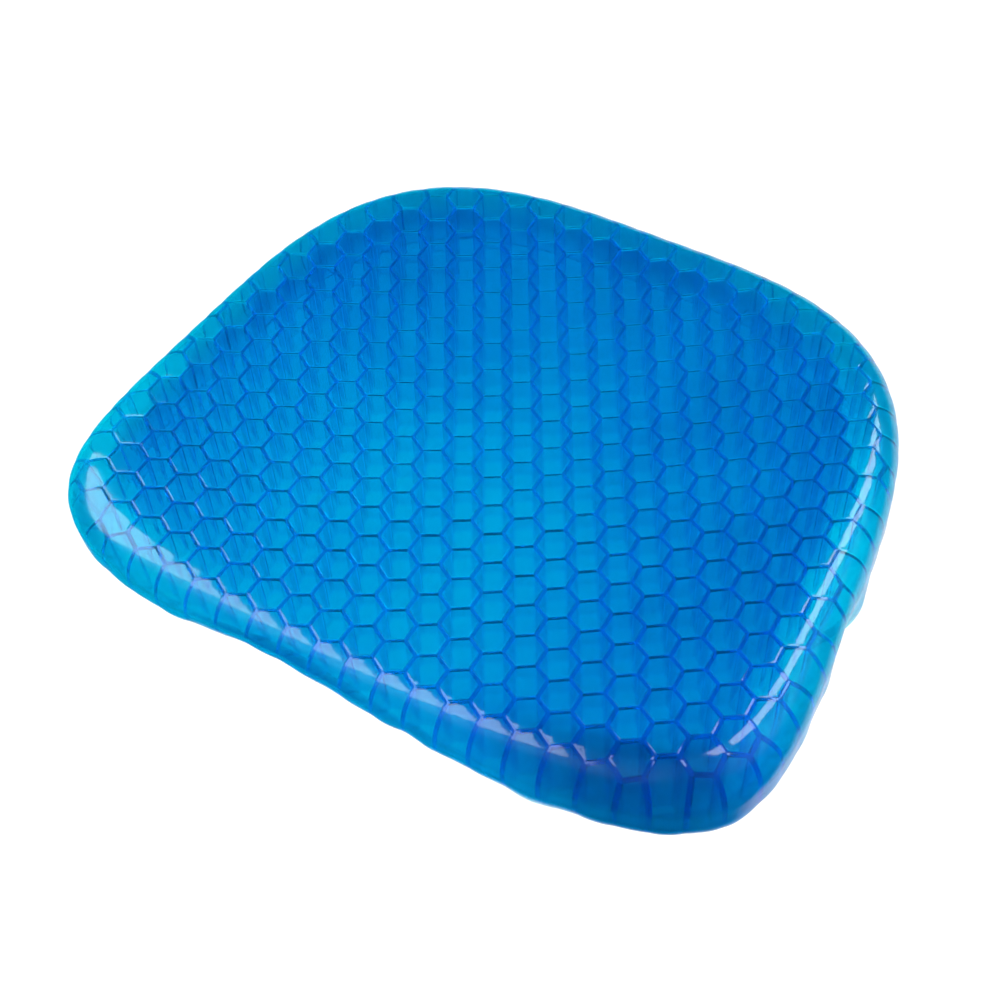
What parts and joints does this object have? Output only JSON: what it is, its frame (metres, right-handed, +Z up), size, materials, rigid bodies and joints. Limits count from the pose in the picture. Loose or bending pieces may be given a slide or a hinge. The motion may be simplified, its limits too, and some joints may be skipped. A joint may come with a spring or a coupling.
{
  "type": "seat cushion",
  "caption": "Contoured gel seat cushion: dished smooth skin, rolled rim and side wall over a grid of open hexagonal cells.",
  "frame": {"origin": "centre of the bounding box in plan, on the surface that the cushion rests on", "axes": "+X towards the sitter's left-hand side seen from the front, along the width; +Y from the front edge to the back edge; +Z up"},
  "size_m": [0.4194, 0.3528, 0.0473],
  "materials": {
    "skin_gel": "smooth, glossy, translucent",
    "rim_gel": "smooth, glossy, translucent",
    "core_gel": "smooth, satin, translucent"
  },
  "bodies": {
    "root": {"top_skin": "skin_gel", "rim_wall": "rim_gel", "honeycomb_core": "core_gel"}
  },
  "joints": []
}
